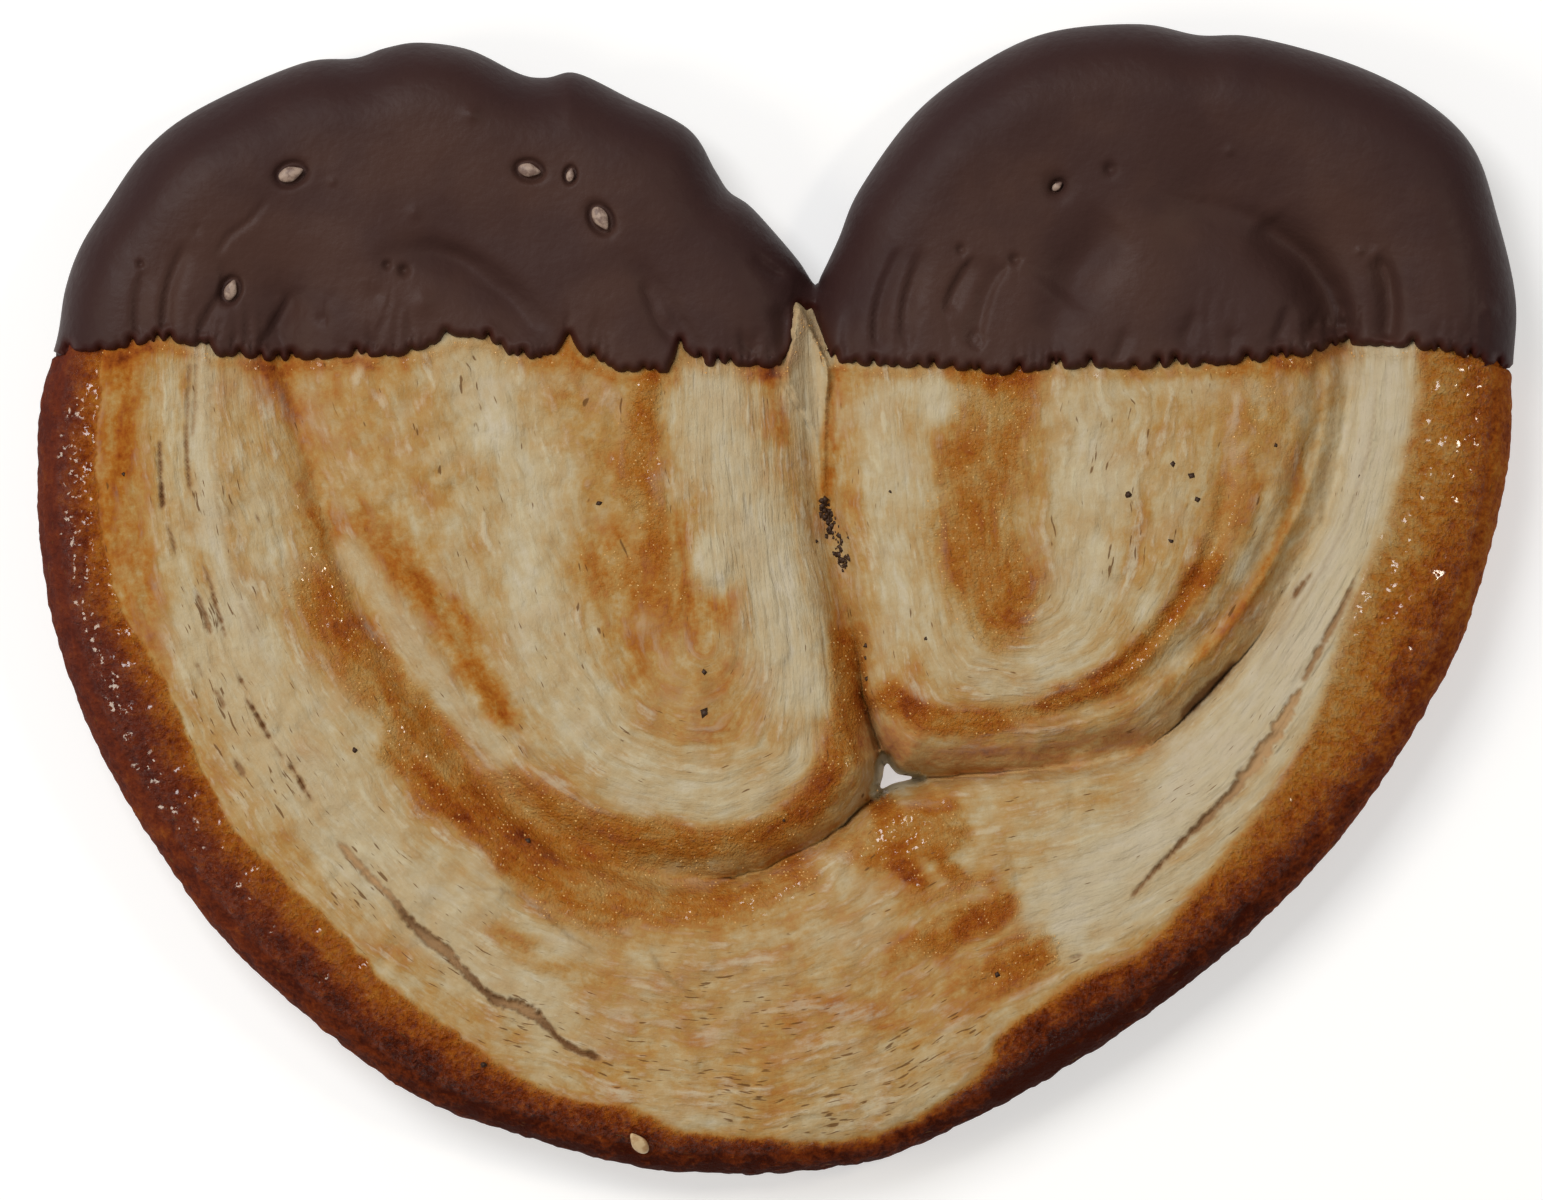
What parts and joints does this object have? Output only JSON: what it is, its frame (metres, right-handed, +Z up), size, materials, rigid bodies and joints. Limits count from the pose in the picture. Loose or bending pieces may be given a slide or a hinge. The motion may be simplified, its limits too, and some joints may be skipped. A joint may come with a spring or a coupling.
{
  "type": "palmier",
  "caption": "Flat heart-shaped puff pastry, rolled in from both sides into coils that meet at a small gap, its ears dipped in dark chocolate.",
  "frame": {"origin": "under the middle of the palmier's outline, on the surface that it lies on", "axes": "+X across the heart from its left coil to its right coil, +Y from the base of the heart to the dipped ears, +Z up out of the baked top face"},
  "size_m": [0.1602, 0.1246, 0.0154],
  "materials": {
    "pastry": "baked puff pastry with a caramelised sugar crust",
    "chocolate": "set dark chocolate, satin"
  },
  "bodies": {
    "root": {"pastry": "pastry", "chocolate": "chocolate"}
  },
  "joints": []
}
